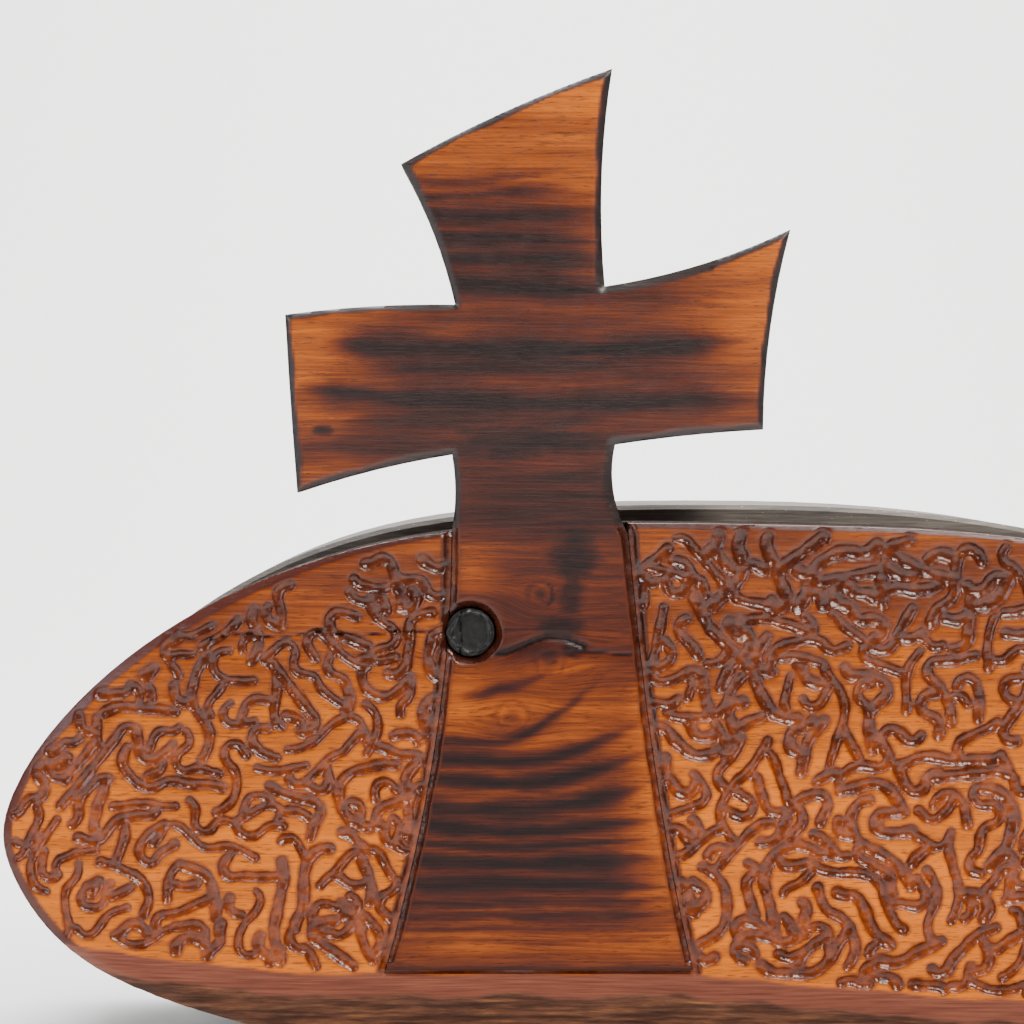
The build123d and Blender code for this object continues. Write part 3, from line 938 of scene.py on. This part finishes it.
# %% Charred knot
def charred_knot():
    made, tree, shader = material("charred_knot")
    ash = streaks(tree, place_in_mm(tree), 1.2, 1.2, 1.2, 5)
    tone = add(tree, "ShaderNodeValToRGB", {0: ash}, stops=[
        (0.35, "#040404"), (0.6, "#0a0909"), (0.78, "#191716")])
    tree.links.new(tone.outputs[0], shader.inputs["Base Color"])
    lip = add(tree, "ShaderNodeAttribute", attribute_name="lip").outputs["Fac"]
    shine = add(tree, "ShaderNodeMapRange", {0: lip, 1: 0.2, 2: 0.9, 3: 0.72, 4: 0.28})
    tree.links.new(shine.outputs[0], shader.inputs["Roughness"])
    shader.inputs["Specular IOR Level"].default_value = 0.3
    bumps = add(tree, "ShaderNodeBump", {"Strength": 0.6, "Distance": 0.0003, "Height": ash})
    tree.links.new(bumps.outputs[0], shader.inputs["Normal"])
    return made


knot.data.materials.append(charred_knot())
print("the knot is", knot.data.materials[0].name)


# %% [markdown]
# ## Walnut, maple and beech
# The body is a plain walnut block that has weathered: grey-brown, matte, with fine grain
# along its length and pale flecks where open pores catch the light. The boards that
# close it at the back are the same wood, oiled and so darker and browner. The drawer's
# boards are waxed maple and the dowels are bare beech. One recipe with other colours
# makes all four.

# %% Plain woods
def plain_wood(name, hues, rough_value, long, fine_size, flecks):
    """hues run from the dark grain lines to the pale wood between them."""
    made, tree, shader = material(name)
    spot = place_in_mm(tree)
    broad = streaks(tree, spot, long * 3, 5, fine_size * 9, 3)
    fine = streaks(tree, spot, long, 1.2, fine_size, 5, 0.6)
    weak = add(tree, "ShaderNodeMath", {0: broad, 1: 0.45}, operation="MULTIPLY").outputs[0]
    mixed = add(tree, "ShaderNodeMath", {0: fine, 1: 0.55, 2: weak}, operation="MULTIPLY_ADD").outputs[0]
    tone = add(tree, "ShaderNodeValToRGB", {0: mixed}, stops=list(zip((0.34, 0.5, 0.68), hues))).outputs[0]
    specks = streaks(tree, spot, 0.9, 0.5, 0.5, 1)
    bright = add(tree, "ShaderNodeMapRange", {0: specks, 1: 0.70, 2: 0.78, 3: 0.0, 4: flecks}).outputs[0]
    tone = add(tree, "ShaderNodeMix", {0: bright, 6: tone, 7: colour("#b8ab92")}, data_type="RGBA").outputs[2]
    tree.links.new(tone, shader.inputs["Base Color"])
    shader.inputs["Roughness"].default_value = rough_value
    ridges = add(tree, "ShaderNodeBump", {"Strength": 0.35, "Distance": 0.0002, "Height": fine})
    tree.links.new(ridges.outputs[0], shader.inputs["Normal"])
    return made


weathered = plain_wood("weathered_walnut", ("#403b37", "#5c554f", "#766e65"), 0.75, 9, 0.5, 0.6)
walnut = plain_wood("oiled_walnut", ("#241a14", "#3d2e24", "#594536"), 0.55, 22, 0.7, 0.1)
maple = plain_wood("waxed_maple", ("#b98f5e", "#cfa976", "#dfc093"), 0.45, 30, 0.9, 0.0)
beech = plain_wood("bare_beech", ("#9a6f47", "#b78a5d", "#cda479"), 0.6, 12, 0.5, 0.0)
print("woods:", weathered.name, walnut.name, maple.name, beech.name)


# %% [markdown]
# ## Felt, metal and nylon
# Wool felt is a mat of loose fibres, so it has a soft sheen and no gloss. The magnets
# are nickel plated, the pins and the bolt are turned steel with fine lathe lines, the
# bush is brass and the washer is plain moulded nylon.

# %% Felt
def wool_felt():
    made, tree, shader = material("wool_felt")
    fibres = streaks(tree, place_in_mm(tree), 0.5, 0.5, 0.5, 6, 0.7)
    tone = add(tree, "ShaderNodeValToRGB", {0: fibres}, stops=[
        (0.35, "#3a0f12"), (0.6, "#5e1a1d"), (0.75, "#7c2c2c")])
    tree.links.new(tone.outputs[0], shader.inputs["Base Color"])
    shader.inputs["Roughness"].default_value = 0.95
    shader.inputs["Sheen Weight"].default_value = 0.4
    fuzz = add(tree, "ShaderNodeBump", {"Strength": 0.8, "Distance": 0.0004, "Height": fibres})
    tree.links.new(fuzz.outputs[0], shader.inputs["Normal"])
    return made


felt = wool_felt()
print("felt is", felt.name)


# %% Metals and nylon
def turned_metal(name, hue, rough_value):
    """Lathe lines 0.15 mm apart, a little paler and rougher than the metal between."""
    made, tree, shader = material(name)
    lines = streaks(tree, place_in_mm(tree), 4, 0.15, 4, 3)
    tone = add(tree, "ShaderNodeValToRGB", {0: lines}, stops=[(0.3, hue), (0.7, "#d8d4cc")]).outputs[0]
    tone = add(tree, "ShaderNodeMix", {0: 0.25, 6: colour(hue), 7: tone}, data_type="RGBA").outputs[2]
    shader.inputs["Metallic"].default_value = 1.0
    tree.links.new(tone, shader.inputs["Base Color"])
    worn = {0: lines, 1: 0.3, 2: 0.7, 3: rough_value - 0.06, 4: rough_value + 0.08}
    tree.links.new(add(tree, "ShaderNodeMapRange", worn).outputs[0], shader.inputs["Roughness"])
    return made


def moulded_nylon():
    made, tree, shader = material("moulded_nylon")
    cloud = streaks(tree, place_in_mm(tree), 2, 2, 2, 3)
    tone = add(tree, "ShaderNodeValToRGB", {0: cloud}, stops=[(0.3, "#d8d5c8"), (0.7, "#e6e3d8")])
    tree.links.new(tone.outputs[0], shader.inputs["Base Color"])
    shader.inputs["Roughness"].default_value = 0.5
    return made


steel = turned_metal("turned_steel", "#9a9a9c", 0.30)
nickel = turned_metal("nickel_plate", "#b9b6ae", 0.18)
brass = turned_metal("turned_brass", "#b08a3e", 0.30)
nylon = moulded_nylon()
print("metals and nylon:", steel.name, nickel.name, brass.name, nylon.name)

# %% Every construction piece gets its finish
finishes = {
    "box_body": weathered, "bay_panel": walnut, "back_panel": walnut, "drawer_face": walnut,
    "back_dowels": beech, "stop_dowel": beech,
    "drawer_left_side": maple, "drawer_right_side": maple, "drawer_end": maple, "drawer_floor": maple,
    "left_liner": felt, "right_liner": felt, "drawer_liner": felt,
    "pivot_bolt": steel, "drawer_stop_pin": steel, "knot_core": steel, "pivot_bush": brass,
    "slot_magnets": nickel, "slab_magnet": nickel, "key_magnets": nickel, "body_magnet": nickel,
    "pivot_washer": nylon,
}
for node, finish in finishes.items():
    nodes[node].data.materials.clear()
    nodes[node].data.materials.append(finish)
print(len(finishes), "construction pieces keep their shape")

# %% [markdown]
# # The studio
# A pale sweep stands behind and under the box. A soft window high at the right gives
# every carved track a line of light. A large skylight straight above lights the body's
# top edge past the cross's shadow. A weak fill comes from the left, and one lamp behind
# the box lights the sweep alone. The room itself is kept dark, because its reflection
# would lie on the lacquer as a milky veil.

# %% Sweep
deselect_all()
bpy.ops.mesh.primitive_plane_add(size=3.0, location=(0, 0, -0.0005))
floor = bpy.context.object
floor.name = "studio_sweep"
bpy.ops.object.mode_set(mode="EDIT")
bpy.ops.mesh.select_mode(type="EDGE")
bpy.ops.mesh.select_all(action="DESELECT")
edit = bmesh.from_edit_mesh(floor.data)
for edge in edit.edges:
    edge.select = all(v.co.y > 1.4 for v in edge.verts)
bmesh.update_edit_mesh(floor.data)
bpy.ops.mesh.extrude_edges_move(TRANSFORM_OT_translate={"value": (0, 0, 2.0)})
bpy.ops.object.mode_set(mode="OBJECT")
bend = floor.modifiers.new("round_corner", "BEVEL")
bend.width = 0.8
bend.segments = 16
apply_modifiers(floor)
bpy.ops.object.shade_smooth()
bpy.ops.object.transform_apply(location=True)
made, tree, shader = material("pale_sweep")
shader.inputs["Base Color"].default_value = colour("#f1f1f0")
shader.inputs["Roughness"].default_value = 0.9
floor.data.materials.append(made)
print("sweep has", len(floor.data.polygons), "faces")


# %% Lights
def soft_light(name, place, target, size, power, hue="#ffffff"):
    lamp = bpy.data.lights.new(name, "AREA")
    lamp.size = size
    lamp.energy = power
    lamp.color = colour(hue)[:3]
    light = bpy.data.objects.new(name, lamp)
    light.location = place
    light.rotation_euler = (Vector(target) - Vector(place)).to_track_quat("-Z", "Y").to_euler()
    bpy.context.collection.objects.link(light)


box_middle = (-0.03, 0, 0.1)
soft_light("window", (0.45, -0.68, 0.95), box_middle, 0.42, 20.5, "#fffaf2")
soft_light("skylight", (-0.1, 0.0, 1.3), box_middle, 0.9, 22)
soft_light("fill", (-1.1, -0.7, 0.6), box_middle, 0.6, 9, "#f4f8ff")
soft_light("backdrop", (0, 1.0, 1.35), (0, 1.2, 0), 1.5, 61)
world = bpy.data.worlds.new("room")
bpy.context.scene.world = world
world.use_nodes = True
world.node_tree.nodes["Background"].inputs[0].default_value = colour("#f2f4f6")
world.node_tree.nodes["Background"].inputs[1].default_value = 0.2
print("lights:", [lamp.name for lamp in bpy.data.lights])

# %% [markdown]
# The camera stands close and almost level with the cross. It looks at the left two
# thirds of the front. Its lens follows from its distance and the width it takes in.

# %% Camera
view_x = -52.4 * MM
view_z = 121.4 * MM
view_width = 225.3 * MM
reach = 0.60
rise = math.radians(1.5)
lens_body = bpy.data.cameras.new("camera")
lens_body.sensor_width = 36
lens_body.lens = lens_body.sensor_width * reach / view_width
camera = bpy.data.objects.new("camera", lens_body)
target = Vector((view_x, y_front, view_z))
camera.location = target + Vector((0, -reach * math.cos(rise), reach * math.sin(rise)))
camera.rotation_euler = (target - camera.location).to_track_quat("-Z", "Y").to_euler()
bpy.context.collection.objects.link(camera)
bpy.context.scene.camera = camera
print("lens", round(lens_body.lens, 1), "mm")
